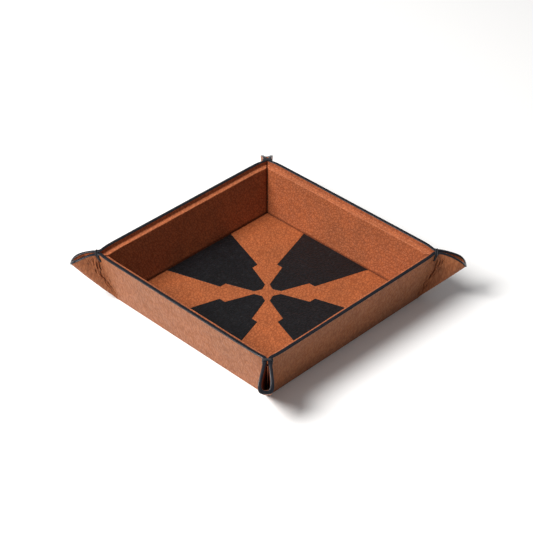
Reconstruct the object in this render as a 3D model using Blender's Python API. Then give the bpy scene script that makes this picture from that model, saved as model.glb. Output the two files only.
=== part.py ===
"""Square tray for rolling dice, folded from one leather sheet.

One sheet of leather makes the base, the four flared walls and, at each corner, an ear: the
surplus leather is pinched together and sticks out along the diagonal. A thread sewn through
both sides of each pinch holds the walls up. Stiff boards lie between the outer leather and a
lining, and the floor is a panel inlaid in two colours of leather.

Frame: metres, +Z up, origin at the centre of the underside, walls square to X and Y.
All lengths below are in millimetres and are turned into metres when a mesh is made.
"""

import math

import bmesh
import bpy
from mathutils import Matrix, Vector

MM = 0.001
ROOT2 = math.sqrt(2.0)

# ---- driving dimensions, millimetres -------------------------------------------------
TRAY_HEIGHT = 48.6  # underside to the top of the rim
BASE_HALF = 90.9  # centre to the fold line of a wall, at the inner face of the outer leather
FLARE = math.radians(13.0)  # a wall leans outwards by this
OUTER_T = 1.4  # outer leather
LINING_T = 1.3  # lining leather
BOARD_T = 3.9  # wall board
GAP = 0.3  # clearance between layers
BASE_BOARD_T = 1.7
INLAY_T = 1.3
FLOOR_TOP = 5.0  # top of the inlaid floor panel
FLOOR_HALF = 85.0
LEDGE_DROP = 4.0  # rim to the ledge where the lining passes over a wall board
PINCH_PULL = 1.45  # the rim is drawn in by this where it is sewn
PINCH_HALF = 1.6  # least half width between the two sides of a pinch
EAR_ELEVATION = math.radians(43.0)  # rise of the fold line along an ear's lower edge
EAR_TIP = 164.8  # tip of an ear, from the centre, along the diagonal
EAR_START = 142.0  # where the free edge starts to drop
EAR_DROP = 12.6  # from the rim to the tip
COAT_T = 0.7  # edge coat, thickness above the leather
THREAD_R = 0.8
HOLE_R = 1.15
TIE_TOP_D = 143.3  # tie, from the centre along the diagonal, at the rim
TIE_DROP = 8.0  # rim to the sewn hole
LEDGE_RISE = 0.4  # fall of the ledge towards the middle of the tray

TAN_F = math.tan(FLARE)
COS_F = math.cos(FLARE)
APEX_D = BASE_HALF * ROOT2  # where the fold lines of two walls meet
TIE_LEAN = 0.38  # run over rise of a tie
RISE = TRAY_HEIGHT - OUTER_T
OUT = OUTER_T  # offset of the outer face from the reference face

# ---- floor pattern: a wedge for each wall, in (distance from centre, half width) -------
WEDGE = ((FLOOR_HALF, 38.6), (34.6, 22.6), (34.6, 16.3), (9.5, 6.7), (6.5, 0.0))


def blend(a, b, t):
    t = min(max(t, 0.0), 1.0)
    return a + (b - a) * t * t * (3.0 - 2.0 * t)


def ear_side(h, f):
    """Half width of an ear's loop at height h above the apex, f along it from pinch to tip."""
    low, high = 0.034 * h, PINCH_HALF
    base = 0.5 * (low + high + math.sqrt((low - high) ** 2 + 0.25))
    swell = blend(0.0, 0.070, f / 0.8) * max(h, 0.0)
    return base + swell


# Control points along an ear: place from pinch to tip, share of the side's width that is
# kept as the loop closes, share of an offset that widens the loop.
EAR_STATIONS = (
    (0.12, 1.0, 1.0),
    (0.32, 1.0, 1.0),
    (0.54, 1.0, 1.0),
    (0.76, 1.0, 1.0),
    (0.93, 0.84, 0.9),
    (1.0, 0.42, 0.45),
)
# Control points along a wall's end: distance short of the pinch, share of the pull.
WALL_STATIONS = ((15.0, 0.0), (8.0, 0.15), (3.5, 0.55), (0.0, 1.0))


def pinch_pull(h):
    """How far a wall's end is drawn in at height h: only near the rim."""
    return PINCH_PULL * min(max((h - 25.0) / (RISE - 25.0), 0.0), 1.0) ** 1.5


def half_polygon(h, out, step=0.0):
    """Control points in plan for half a corner, wall +X to the ear's tip.

    h is the height above the fold line, out the offset outwards from the reference face,
    step how far the face of the wall alone lies inwards of that.
    """
    plain = BASE_HALF + h * TAN_F + out / COS_F
    xw = plain - step / COS_F
    pull = pinch_pull(h)
    side = max(ear_side(h, 0.0) + out, 0.15)
    yb = xw - pull - ROOT2 * side
    points = [(xw, 25.0), (xw, 60.0)]
    points += [(xw - share * pull, yb - short) for short, share in WALL_STATIONS]
    d_bend = ROOT2 * (plain - pull) - side
    d_tip = APEX_D + h / math.tan(EAR_ELEVATION) + out * 1.3
    d_tip = max(d_tip, d_bend + 0.5)
    for f, cap, widen in EAR_STATIONS:
        d = d_bend + f * (d_tip - d_bend)
        w = max(ear_side(h, f) * cap + out * widen, 0.15 if f < 1.0 else 0.08)
        points.append(((d + w) / ROOT2, (d - w) / ROOT2))
    return points


def ring_polygon(h, out, step=0.0):
    """Control points all the way round, anticlockwise from wall +X."""
    half = half_polygon(h, out, step)
    corner = half + [(y, x) for x, y in reversed(half)]
    ring = []
    for _ in range(4):
        ring += corner
        corner = [(-y, x) for x, y in corner]
    return ring


SPANS = 2 * (2 + len(WALL_STATIONS) + len(EAR_STATIONS))  # control points in a corner


def spline(ring, t):
    """Uniform cubic B-spline, closed, at parameter t."""
    n = len(ring)
    i = math.floor(t)
    s = t - i
    weights = (
        (1 - s) ** 3 / 6,
        (3 * s**3 - 6 * s**2 + 4) / 6,
        (-3 * s**3 + 3 * s**2 + 3 * s + 1) / 6,
        s**3 / 6,
    )
    x = y = 0.0
    for k, weight in enumerate(weights):
        px, py = ring[(i - 1 + k) % n]
        x += weight * px
        y += weight * py
    return x, y


HALF_TS = (-0.5, 1.5, 3.0, 4.0, 4.6, 5.2, 6.0, 7.2, 8.4, 9.5, 10.4, 11.0)
TIP_T = SPANS / 2 - 0.5
CORNER_TS = HALF_TS + (TIP_T,) + tuple(SPANS - 1 - t for t in reversed(HALF_TS[1:]))
RING_TS = tuple(q * SPANS + t for q in range(4) for t in CORNER_TS)


def edge_height(d):
    """Height of the sheet's free edge at a distance d from the centre along a diagonal."""
    t = max(d - EAR_START, 0.0) / (EAR_TIP - EAR_START)
    return TRAY_HEIGHT - EAR_DROP * t**1.35


def rim_height(t):
    """Height of the free edge at ring parameter t, where the reference face meets it."""
    t = t % SPANS
    low, high = 20.0, TRAY_HEIGHT
    for _ in range(40):
        z = 0.5 * (low + high)
        x, y = spline(ring_polygon(z - OUTER_T, 0.0), t)
        if edge_height((x + y) / ROOT2) > z:
            low = z
        else:
            high = z
    return 0.5 * (low + high)


CORNER_RIM = tuple(rim_height(t) for t in CORNER_TS)
RIM = CORNER_RIM * 4


def material(name, colour, roughness, metallic=0.0):
    m = bpy.data.materials.new(name)
    m.use_nodes = True
    shader = m.node_tree.nodes["Principled BSDF"]
    shader.inputs["Base Color"].default_value = (*colour, 1.0)
    shader.inputs["Roughness"].default_value = roughness
    shader.inputs["Metallic"].default_value = metallic
    m.diffuse_color = (*colour, 1.0)
    return m


def new_object(name, bm, mat, smooth_angle=None):
    bmesh.ops.recalc_face_normals(bm, faces=bm.faces)
    mesh = bpy.data.meshes.new(name)
    bm.to_mesh(mesh)
    bm.free()
    mesh.materials.append(mat)
    if smooth_angle is not None:
        mesh.shade_smooth()
        mesh.set_sharp_from_angle(angle=math.radians(smooth_angle))
    ob = bpy.data.objects.new(name, mesh)
    bpy.context.scene.collection.objects.link(ob)
    return ob


def add_ring(bm, points):
    return [bm.verts.new((x * MM, y * MM, z * MM)) for x, y, z in points]


def bridge(bm, a, b):
    n = len(a)
    for i in range(n):
        j = (i + 1) % n
        bm.faces.new((a[i], a[j], b[j], b[i]))


def corner_inset(z, floor_z, radius):
    """How far inside its slanted wall a face lies as it curves into the floor at floor_z."""
    slant = math.pi / 2 - FLARE
    reach = radius * math.tan(slant / 2)
    up = z - floor_z
    top = radius * (1 - math.cos(slant))
    if up >= top:
        return 0.0
    arc_x = -reach + math.sqrt(max(radius**2 - (radius - up) ** 2, 0.0))
    return up * TAN_F - arc_x


def face_ring(z, out, step=0.0, inset=0.0):
    """A level ring of the folded sheet at height z."""
    ring = ring_polygon(z - OUTER_T, out - inset, step)
    return [(*spline(ring, t), z) for t in RING_TS]


def rising_ring(low, share, out, drop, step_at=None):
    """A ring at the given share of the way from height low up to the free edge less drop."""
    points = []
    cache = {}
    for i, t in enumerate(RING_TS):
        k = i % len(CORNER_TS)
        z = low + share * (CORNER_RIM[k] - drop - low)
        if k not in cache:
            step = step_at(z) if step_at else 0.0
            cache[k] = ring_polygon(z - OUTER_T, out, step)
        points.append((*spline(cache[k], t), z))
    return points


def make_outer(mat):
    """Base, walls and ears: one sheet of even thickness."""
    bm = bmesh.new()
    outside, inside = 1.8, 0.6  # bend radii at the foot of a wall
    rings = []
    for z in (0.0, 0.3, 0.9):
        rings.append(face_ring(z, OUT, inset=corner_inset(z, 0.0, outside)))
    for share in (0.0, 0.12, 0.3, 0.62, 1.0):
        rings.append(rising_ring(2.0, share, OUT, COAT_T + GAP))
    for share in (1.0, 0.62, 0.3, 0.12, 0.0):
        rings.append(rising_ring(2.4, share, 0.0, COAT_T + GAP))
    for z in (OUTER_T + 0.3, OUTER_T):
        rings.append(face_ring(z, 0.0, inset=corner_inset(z, OUTER_T, inside)))
    loops = [add_ring(bm, r) for r in rings]
    for a, b in zip(loops, loops[1:]):
        bridge(bm, a, b)
    bm.faces.new(loops[0])
    bm.faces.new(list(reversed(loops[-1])))
    return new_object("outer_leather", bm, mat, 35)


def ledge_step(z, top):
    """How far the lining of a wall lies inwards to cover the board, whose ledge starts at top."""
    return (BOARD_T + GAP) * (1.0 - min(max((z - top) / LEDGE_RISE, 0.0), 1.0))


def make_lining(mat):
    """Inner skin of the walls and ears: a ring with a foot beside the floor panel."""
    bm = bmesh.new()
    foot = OUTER_T + GAP + 0.2
    ledge = TRAY_HEIGHT - LEDGE_DROP
    drop = COAT_T + GAP
    back, front = -GAP, -GAP - LINING_T

    def level(z, out, top):
        """At height z on the walls, and as far up as the free edge allows on the ears."""
        points = []
        cache = {}
        for i, t in enumerate(RING_TS):
            k = i % len(CORNER_TS)
            if k not in cache:
                reach = (z - foot) / (TRAY_HEIGHT - drop - foot)
                zz = foot + reach * (CORNER_RIM[k] - drop - foot)
                cache[k] = (ring_polygon(zz - OUTER_T, out, ledge_step(z, top)), zz)
            ring, zz = cache[k]
            points.append((*spline(ring, t), zz))
        return points

    under = ledge - LINING_T
    heights = (foot, 6.0, 14.0, 28.0)
    rings = [level(z, front, ledge) for z in heights + (ledge, ledge + LEDGE_RISE, TRAY_HEIGHT - drop)]
    rings += [level(z, back, under) for z in (TRAY_HEIGHT - drop, under + LEDGE_RISE, under) + heights[::-1]]
    loops = [add_ring(bm, r) for r in rings]
    for a, b in zip(loops, loops[1:] + loops[:1]):
        bridge(bm, a, b)
    return new_object("lining_leather", bm, mat, 35)


def make_coat(mat):
    """Black coat that seals the free edge of both leathers, all the way round."""
    bm = bmesh.new()
    inner, outer = -GAP - LINING_T, OUT
    profile = (
        (outer, -COAT_T),
        (outer, -0.25),
        (outer - 0.5, 0.0),
        (inner + 0.5, 0.0),
        (inner, -0.25),
        (inner, -COAT_T),
    )
    loops = []
    for out, dz in profile:
        points = []
        cache = {}
        for i, t in enumerate(RING_TS):
            k = i % len(CORNER_TS)
            if k not in cache:
                cache[k] = ring_polygon(CORNER_RIM[k] - OUTER_T, out)
            points.append((*spline(cache[k], t), CORNER_RIM[k] + dz))
        loops.append(add_ring(bm, points))
    for a, b in zip(loops, loops[1:] + loops[:1]):
        bridge(bm, a, b)
    return new_object("edge_coat", bm, mat, 35)


def make_wall_board(name, quarter, mat):
    """Flat board inside one wall, ends mitred to the diagonals, top edge bevelled inwards."""
    bm = bmesh.new()
    low, high = OUTER_T + 1.3, TRAY_HEIGHT - LEDGE_DROP - LINING_T - GAP
    corners = []
    full = GAP + BOARD_T
    for z, back, front in ((low, GAP, full), (high - 0.3, GAP, full), (high, GAP, full - 0.4)):
        h = z - OUTER_T
        short = 1.6 + 10.0 * pinch_pull(h) / PINCH_PULL  # stops short where the rim is drawn in
        row = []
        for depth in (back, front):
            x = BASE_HALF + h * TAN_F - depth / COS_F
            y = x - pinch_pull(h) - ROOT2 * (ear_side(h, 0.0) + 0.35) - short
            row += [(x, y), (x, -y)]
        corners.append([bm.verts.new((x * MM, y * MM, z * MM)) for x, y in row])
    for lower, upper in zip(corners, corners[1:]):
        ob, obn, ib, ibn = lower
        ot, otn, it, itn = upper
        bm.faces.new((ob, ot, otn, obn))
        bm.faces.new((ib, ibn, itn, it))
        bm.faces.new((ob, ib, it, ot))
        bm.faces.new((obn, otn, itn, ibn))
    first, last = corners[0], corners[-1]
    bm.faces.new((first[0], first[1], first[3], first[2]))
    bm.faces.new((last[0], last[2], last[3], last[1]))
    bmesh.ops.rotate(bm, verts=bm.verts, cent=(0, 0, 0), matrix=Matrix.Rotation(quarter * math.pi / 2, 3, "Z"))
    return new_object(name, bm, mat)


def make_slab(name, outline, low, high, mat):
    """A flat piece: its outline in plan between two heights."""
    bm = bmesh.new()
    bottom = [bm.verts.new((x * MM, y * MM, low * MM)) for x, y in outline]
    top = [bm.verts.new((x * MM, y * MM, high * MM)) for x, y in outline]
    n = len(outline)
    for i in range(n):
        j = (i + 1) % n
        bm.faces.new((bottom[i], bottom[j], top[j], top[i]))
    bm.faces.new(list(reversed(bottom)))
    bm.faces.new(top)
    return new_object(name, bm, mat)


def inset_outline(outline, distance):
    """The outline with each edge moved inwards by distance; outline runs anticlockwise."""
    n = len(outline)
    lines = []
    for i in range(n):
        (x0, y0), (x1, y1) = outline[i], outline[(i + 1) % n]
        length = math.hypot(x1 - x0, y1 - y0)
        nx, ny = -(y1 - y0) / length, (x1 - x0) / length
        lines.append((nx, ny, nx * x0 + ny * y0 + distance))
    result = []
    for i in range(n):
        a0, b0, c0 = lines[i - 1]
        a1, b1, c1 = lines[i]
        det = a0 * b1 - a1 * b0
        result.append(((c0 * b1 - c1 * b0) / det, (a0 * c1 - a1 * c0) / det))
    return result


def wedge_outline():
    """The black wedge that points at +X's wall, anticlockwise."""
    lower = [(x, -y) for x, y in reversed(WEDGE)]
    return lower + [(x, y) for x, y in WEDGE[:-1]]


def rotated(points, quarter):
    for _ in range(quarter):
        points = [(-y, x) for x, y in points]
    return points


def cross_outline():
    """The tan piece: the floor's square less the four wedges, anticlockwise."""
    outline = []
    for quarter in range(4):
        notch = [(x, -y) for x, y in WEDGE] + [(x, y) for x, y in reversed(WEDGE[:-1])]
        outline += rotated(notch + [(FLOOR_HALF, FLOOR_HALF)], quarter)
    return outline


def tie_path():
    """Centre line of a tie as (across the pinch, height), a rounded rectangle."""
    h_top, h_hole = RISE, RISE - TIE_DROP
    top = TRAY_HEIGHT + 0.25 + THREAD_R
    bottom = TRAY_HEIGHT - TIE_DROP
    half_top = ear_side(h_top, 0.1) + OUT + GAP + THREAD_R
    half_low = ear_side(h_hole, 0.1) + OUT + GAP + THREAD_R
    radius = 1.5
    path = []
    for cx, cz, first in (
        (half_top - radius, top - radius, 0.0),
        (-half_top + radius, top - radius, 90.0),
        (-half_low + radius, bottom + radius, 180.0),
        (half_low - radius, bottom + radius, 270.0),
    ):
        for k in range(4):
            a = math.radians(first + 30.0 * k)
            path.append((cx + radius * math.cos(a), cz + radius * math.sin(a)))
    return path


def corner_frame(quarter):
    a = math.pi / 4 + quarter * math.pi / 2
    return Vector((math.cos(a), math.sin(a), 0)), Vector((math.sin(a), -math.cos(a), 0))


def tie_point(quarter, w, z):
    diagonal, across = corner_frame(quarter)
    d = TIE_TOP_D - (TRAY_HEIGHT - z) * TIE_LEAN
    return (diagonal * d + across * w + Vector((0, 0, z))) * MM


def make_tie(name, quarter, mat):
    """Thread sewn once round a pinch: over the rim and back through both sides."""
    bm = bmesh.new()
    centres = [tie_point(quarter, w, z) for w, z in tie_path()]
    n = len(centres)
    diagonal, across = corner_frame(quarter)
    normal = across.cross((tie_point(quarter, 0, 10) - tie_point(quarter, 0, 0)).normalized()).normalized()
    loops = []
    for i, c in enumerate(centres):
        along = (centres[(i + 1) % n] - centres[i - 1]).normalized()
        side = along.cross(normal).normalized()
        loops.append(
            [
                bm.verts.new(c + (side * math.cos(a) + normal * math.sin(a)) * THREAD_R * MM)
                for a in (2 * math.pi * k / 8 for k in range(8))
            ]
        )
    for i in range(n):
        bridge(bm, loops[i], loops[(i + 1) % n])
    return new_object(name, bm, mat, 60)


def make_punches():
    """One cutter per corner for the sewn holes."""
    punches = []
    for quarter in range(4):
        bm = bmesh.new()
        bmesh.ops.create_cone(bm, cap_ends=True, segments=12, radius1=HOLE_R * MM, radius2=HOLE_R * MM, depth=14 * MM)
        centre = tie_point(quarter, 0.0, TRAY_HEIGHT - TIE_DROP)
        across = corner_frame(quarter)[1]
        bm.transform(Matrix.Translation(centre) @ across.to_track_quat("Z", "Y").to_matrix().to_4x4())
        mesh = bpy.data.meshes.new("punch_%d" % quarter)
        bm.to_mesh(mesh)
        bm.free()
        ob = bpy.data.objects.new("punch_%d" % quarter, mesh)
        ob.hide_render = True
        ob.display_type = "WIRE"
        bpy.context.scene.collection.objects.link(ob)
        punches.append(ob)
    return punches


def punch(ob, cutters):
    for cutter in cutters:
        cut = ob.modifiers.new(cutter.name, "BOOLEAN")
        cut.operation = "DIFFERENCE"
        cut.solver = "EXACT"
        cut.object = cutter


def main():
    for ob in list(bpy.data.objects):
        bpy.data.objects.remove(ob, do_unlink=True)
    tan_outer = material("tan_outer_leather", (0.36, 0.16, 0.075), 0.6)
    tan_lining = material("tan_lining_leather", (0.34, 0.125, 0.045), 0.62)
    tan_inlay = material("tan_inlay_leather", (0.36, 0.13, 0.05), 0.62)
    black_inlay = material("black_inlay_leather", (0.018, 0.017, 0.018), 0.58)
    black_coat = material("black_edge_coat", (0.015, 0.016, 0.02), 0.32)
    black_thread = material("black_waxed_thread", (0.02, 0.02, 0.024), 0.45)
    grey_board = material("grey_board", (0.19, 0.16, 0.12), 0.9)

    outer = make_outer(tan_outer)
    lining = make_lining(tan_lining)
    make_coat(black_coat)
    punches = make_punches()
    punch(outer, punches)
    punch(lining, punches)

    half = FLOOR_HALF - 0.4
    make_slab(
        "base_board",
        [(half, -half), (half, half), (-half, half), (-half, -half)],
        OUTER_T + GAP,
        OUTER_T + GAP + BASE_BOARD_T,
        grey_board,
    )
    for quarter, side in enumerate(("right", "back", "left", "front")):
        make_wall_board("wall_board_" + side, quarter, grey_board)
    make_slab(
        "floor_inlay_tan",
        inset_outline(cross_outline(), GAP / 2),
        FLOOR_TOP - INLAY_T,
        FLOOR_TOP,
        tan_inlay,
    )
    for quarter, side in enumerate(("right", "back", "left", "front")):
        make_slab(
            "floor_inlay_black_" + side,
            rotated(inset_outline(wedge_outline(), GAP / 2), quarter),
            FLOOR_TOP - INLAY_T,
            FLOOR_TOP,
            black_inlay,
        )
    for quarter, corner in enumerate(("back_right", "back_left", "front_left", "front_right")):
        make_tie("corner_tie_" + corner, quarter, black_thread)


main()
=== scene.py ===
"""Looks of the folded leather dice tray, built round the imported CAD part.

The sheet's shape follows the same rules as the CAD part, sampled much more finely, with each
corner's ear given its own small differences, wrinkles beside the pinches, soft edges, twisted
thread and procedural leather. Lengths are in millimetres until a mesh is made.
"""

import math

import bmesh
import bpy
import numpy as np
from mathutils import Matrix, Vector, geometry


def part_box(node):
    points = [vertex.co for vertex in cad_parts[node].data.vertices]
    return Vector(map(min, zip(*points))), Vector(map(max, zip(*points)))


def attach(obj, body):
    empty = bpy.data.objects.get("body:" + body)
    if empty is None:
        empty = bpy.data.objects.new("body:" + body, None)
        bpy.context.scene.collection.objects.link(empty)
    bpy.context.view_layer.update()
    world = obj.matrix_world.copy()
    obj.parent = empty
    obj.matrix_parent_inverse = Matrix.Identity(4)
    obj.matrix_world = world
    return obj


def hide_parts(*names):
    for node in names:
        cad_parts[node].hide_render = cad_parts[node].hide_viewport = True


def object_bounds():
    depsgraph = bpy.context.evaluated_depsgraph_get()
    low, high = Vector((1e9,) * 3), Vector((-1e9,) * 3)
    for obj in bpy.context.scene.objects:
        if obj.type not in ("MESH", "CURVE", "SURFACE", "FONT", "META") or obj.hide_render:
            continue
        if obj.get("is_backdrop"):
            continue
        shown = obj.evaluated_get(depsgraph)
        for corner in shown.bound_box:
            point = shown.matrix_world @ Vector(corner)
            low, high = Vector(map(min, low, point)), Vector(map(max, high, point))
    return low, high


MM = 0.001
ROOT2 = math.sqrt(2.0)

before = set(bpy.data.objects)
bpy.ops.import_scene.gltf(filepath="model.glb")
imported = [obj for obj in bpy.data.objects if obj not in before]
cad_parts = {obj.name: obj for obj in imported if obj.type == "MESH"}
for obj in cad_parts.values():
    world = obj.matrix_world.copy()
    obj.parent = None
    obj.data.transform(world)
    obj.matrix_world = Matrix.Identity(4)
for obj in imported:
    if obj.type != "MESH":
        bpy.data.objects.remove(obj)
size_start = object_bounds()

# ---- sizes read from the imported CAD parts ------------------------------------------
RIM_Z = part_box("edge_coat")[1].z / MM
FLOOR_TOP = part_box("floor_inlay_tan")[1].z / MM
FLOOR_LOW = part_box("floor_inlay_tan")[0].z / MM
FLOOR_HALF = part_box("floor_inlay_tan")[1].x / MM + 0.15
BOARD_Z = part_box("wall_board_right")[1].z / MM
FOOT_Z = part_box("lining_leather")[0].z / MM

# ---- sizes the sheet shares with the CAD part ----------------------------------------
BASE_HALF = 90.9
FLARE = math.radians(13.0)
TAN_F, COS_F = math.tan(FLARE), math.cos(FLARE)
OUTER_T, LINING_T, GAP = 1.4, 1.3, 0.3
BOARD_T = 3.9
LEDGE_RISE = 0.4
LEDGE_Z = BOARD_Z + LINING_T + GAP  # lining's edge over a wall board
PINCH_PULL, PINCH_HALF = 1.45, 1.6
APEX_D = BASE_HALF * ROOT2
EAR_START = 142.0
TIE_DROP = 8.0
RISE = RIM_Z - OUTER_T
WEDGE = ((FLOOR_HALF, 38.6), (34.6, 22.6), (34.6, 16.3), (9.5, 6.7), (6.5, 0.0))

# Each ear as it was folded: where the tip lies along the diagonal, the fall of the free edge
# (slow, then quick towards the tip), rise of the fold line in degrees, how far the fold line
# stands off and bows outwards, how much the loop opens and from where, how bluntly it closes, sideways lean of the
# tip, and the tie's place and tilt.
CORNERS = (
    dict(tip=167.0, drop=(10.7, 3.0), rise=40.4, nose=0.6, bow=0.4, swell=0.074, start=0.15, close=(1.0, 1.0, 1.0, 0.98, 0.86, 0.46), lean=0.0, tie=141.9, tie_lean=0.27),
    dict(tip=165.4, drop=(10.0, 3.0), rise=43.0, nose=0.9, bow=0.5, swell=0.074, start=0.0, close=(1.0, 1.0, 1.0, 0.98, 0.80, 0.40), lean=0.5, tie=142.8, tie_lean=0.36),
    dict(tip=166.0, drop=(9.0, 2.8), rise=44.8, nose=1.15, bow=1.2, swell=0.082, start=0.0, close=(1.0, 1.0, 0.98, 0.84, 0.52, 0.26), lean=0.0, tie=143.1, tie_lean=0.38),
    dict(tip=166.6, drop=(10.6, 3.4), rise=42.4, nose=2.3, bow=0.5, swell=0.088, start=0.0, close=(1.0, 1.0, 1.0, 1.02, 0.96, 0.56), lean=-1.3, tie=142.6, tie_lean=0.34),
)
EAR_STATIONS = ((0.12, 1.0), (0.32, 1.0), (0.54, 1.0), (0.76, 1.0), (0.93, 0.9), (1.0, 0.45))
WALL_STATIONS = ((15.0, 0.0), (8.0, 0.15), (3.5, 0.55), (0.0, 1.0))
WALL_STEP = (0.80, 1.0, 0.905, 0.88)  # how proud of its board the lining of each wall lies
FOOT_SLACK = (0.0, 0.6, 0.0, 0.0)  # how much more the foot of one wall's lining stands in
RIM_DIP = 0.5  # the rim is drawn down under a tie
BEND_T = 5.5  # ring parameter where a wall turns into an ear
TIP_T = 11.5


def smooth(t):
    t = np.clip(t, 0.0, 1.0)
    return t * t * (3.0 - 2.0 * t)


# ---- shape of the folded sheet ---------------------------------------------------------
def ear_side(h, f, swell=0.074, start=0.0):
    low = 0.034 * h
    base = 0.5 * (low + PINCH_HALF + np.sqrt((low - PINCH_HALF) ** 2 + 0.25))
    return base + smooth((np.asarray(f) - start) / (0.8 - start)) * swell * np.maximum(h, 0.0)


def pinch_pull(h):
    return PINCH_PULL * np.clip((h - 25.0) / (RISE - 25.0), 0.0, 1.0) ** 1.5


def control_points(q, h, out, step):
    """(n, 28, 2) control points round corner q, two of them from each neighbour."""
    corner = CORNERS[q]
    h = np.asarray(h, float)
    out = np.broadcast_to(np.asarray(out, float), h.shape)
    step = np.broadcast_to(np.asarray(step, float), h.shape)
    plain = BASE_HALF + h * TAN_F + out / COS_F
    pull = pinch_pull(h)
    side = np.maximum(ear_side(h, 0.0) + out, 0.15)
    d_bend = ROOT2 * (plain - pull) - side
    stand = corner["nose"] * (0.35 + 0.65 * smooth(h / 12.0)) + (out - OUTER_T) * 1.3
    stand = stand + corner["bow"] * np.sin(math.pi * np.clip(h / 37.0, 0.0, 1.0))
    d_tip = APEX_D + h / math.tan(math.radians(corner["rise"])) + stand
    d_tip = np.maximum(d_tip, d_bend + 0.5)
    sides = []
    for wall in (q, (q + 1) % 4):
        slack = FOOT_SLACK[wall] * np.clip(1.0 - h / 36.0, 0.0, 1.0) * np.clip(step, 0.0, 1.0)
        trim = np.where(out < -1.0, WALL_STEP[wall], 1.0)
        xw = plain - (step * trim + slack) / COS_F
        yb = xw - pull - ROOT2 * side
        xs, ys, across = [xw, xw], [0 * h + 25.0, 0 * h + 60.0], [0 * h, 0 * h]
        for short, share in WALL_STATIONS:
            xs.append(xw - share * pull)
            ys.append(yb - short)
            across.append(0 * h)
        for (f, widen), cap in zip(EAR_STATIONS, corner["close"]):
            d = d_bend + f * (d_tip - d_bend)
            w = ear_side(h, f, corner["swell"], corner["start"]) * cap + out * widen
            w = np.maximum(w, 0.15 if f < 1.0 else 0.08)
            xs.append((d + w) / ROOT2)
            ys.append((d - w) / ROOT2)
            across.append(corner["lean"] * smooth(f) * np.clip(h / 34.0, 0.0, 1.2))
        sides.append((xw, *(np.stack(v, 1) for v in (xs, ys, across))))
    (x0, xs, ys, across), (x1, xt, yt, beyond) = sides
    first = np.stack([xs - across / ROOT2, ys + across / ROOT2], 2)
    second = np.stack([yt - beyond / ROOT2, xt + beyond / ROOT2], 2)[:, ::-1]
    before = np.stack([np.stack([x0, 0 * h - 60.0], 1), np.stack([x0, 0 * h - 25.0], 1)], 1)
    after = np.stack([np.stack([0 * h - 25.0, x1], 1), np.stack([0 * h - 60.0, x1], 1)], 1)
    return np.concatenate([before, first, second, after], 1)


def sheet(q, t, z, out, step=0.0):
    """Plan position of the sheet at corner q: ring parameters t, heights z, both of shape (n,)."""
    t = np.asarray(t, float)
    points = control_points(q, np.asarray(z, float) - OUTER_T, out, step)
    i = np.floor(t).astype(int)
    s = t - i
    weights = (
        (1 - s) ** 3 / 6,
        (3 * s**3 - 6 * s**2 + 4) / 6,
        (-3 * s**3 + 3 * s**2 + 3 * s + 1) / 6,
        s**3 / 6,
    )
    rows = np.arange(len(t))
    xy = sum(w[:, None] * points[rows, i + 1 + k] for k, w in enumerate(weights))
    a = q * math.pi / 2
    turn = np.array([[math.cos(a), math.sin(a)], [-math.sin(a), math.cos(a)]])
    return xy @ turn


def ring_parameters():
    """Ring parameters of a corner's columns: close together where the leather bends."""
    t = np.linspace(-0.5, TIP_T, 3001)
    p = sheet(0, t, np.full_like(t, 40.0), OUTER_T)
    ds = np.hypot(*np.diff(p, axis=0).T)
    spacing = np.interp(0.5 * (t[1:] + t[:-1]), (-0.5, 1.2, 3.2, 4.2, 10.4, 11.5), (3.0, 2.4, 0.6, 0.37, 0.37, 0.28))
    count = np.concatenate([[0.0], np.cumsum(ds / spacing)])
    n = int(round(count[-1]))
    half = np.interp(np.arange(n + 1) / n, count / count[-1], t)
    half[0], half[-1] = -0.5, TIP_T
    return np.concatenate([half, 23.0 - half[-2:0:-1]])


TS = ring_parameters()
NC = len(TS)  # columns in a corner
COLS = 4 * NC


def free_edge(out):
    """(4, NC) heights of the free edge over each column, for a layer standing off by out."""
    edge = []
    for q in range(4):
        corner = CORNERS[q]
        low, high = np.full(NC, 20.0), np.full(NC, RIM_Z)
        a = math.pi / 4 + q * math.pi / 2
        diagonal = np.array([math.cos(a), math.sin(a)])
        for _ in range(34):
            z = 0.5 * (low + high)
            d = sheet(q, TS, z, out) @ diagonal
            reach = np.maximum(d - EAR_START, 0.0) / (corner["tip"] - EAR_START)
            fall = corner["drop"][0] * reach**1.32 + corner["drop"][1] * reach**8
            fall = fall + RIM_DIP * np.exp(-(((d - corner["tie"]) / 1.9) ** 2))
            fall = fall + 0.8 * RIM_DIP * np.exp(-(((d - corner["tie"]) / 5.0) ** 2))
            above = RIM_Z - fall > z
            low, high = np.where(above, z, low), np.where(above, high, z)
        edge.append(0.5 * (low + high))
    return np.stack(edge)


LAYERS = (-GAP - LINING_T, -GAP, 0.0, OUTER_T)
EDGES = np.stack([free_edge(out) for out in LAYERS])


def rim_at(out):
    """The free edge's height for a layer between the inner and the outer face."""
    out = min(max(float(out), LAYERS[0]), LAYERS[-1])
    k = min(int(np.searchsorted(LAYERS, out, "right")) - 1, len(LAYERS) - 2)
    share = (out - LAYERS[k]) / (LAYERS[k + 1] - LAYERS[k])
    return EDGES[k] * (1.0 - share) + EDGES[k + 1] * share


def level_row(z, out, step=0.0):
    """A row of points; z is (4, NC) heights."""
    z = np.broadcast_to(np.asarray(z, float), (4, NC))
    step = np.broadcast_to(np.asarray(step, float), (4, NC))
    out = np.broadcast_to(np.asarray(out, float), (4, NC))
    xy = np.concatenate([sheet(q, TS, z[q], out[q], step[q]) for q in range(4)])
    return np.column_stack([xy, z.reshape(-1)])


def corner_inset(z, floor_z, radius):
    slant = math.pi / 2 - FLARE
    reach = radius * math.tan(slant / 2)
    up = z - floor_z
    if up >= radius * (1 - math.cos(slant)):
        return 0.0
    return up * TAN_F + reach - math.sqrt(max(radius**2 - (radius - up) ** 2, 0.0))


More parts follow.
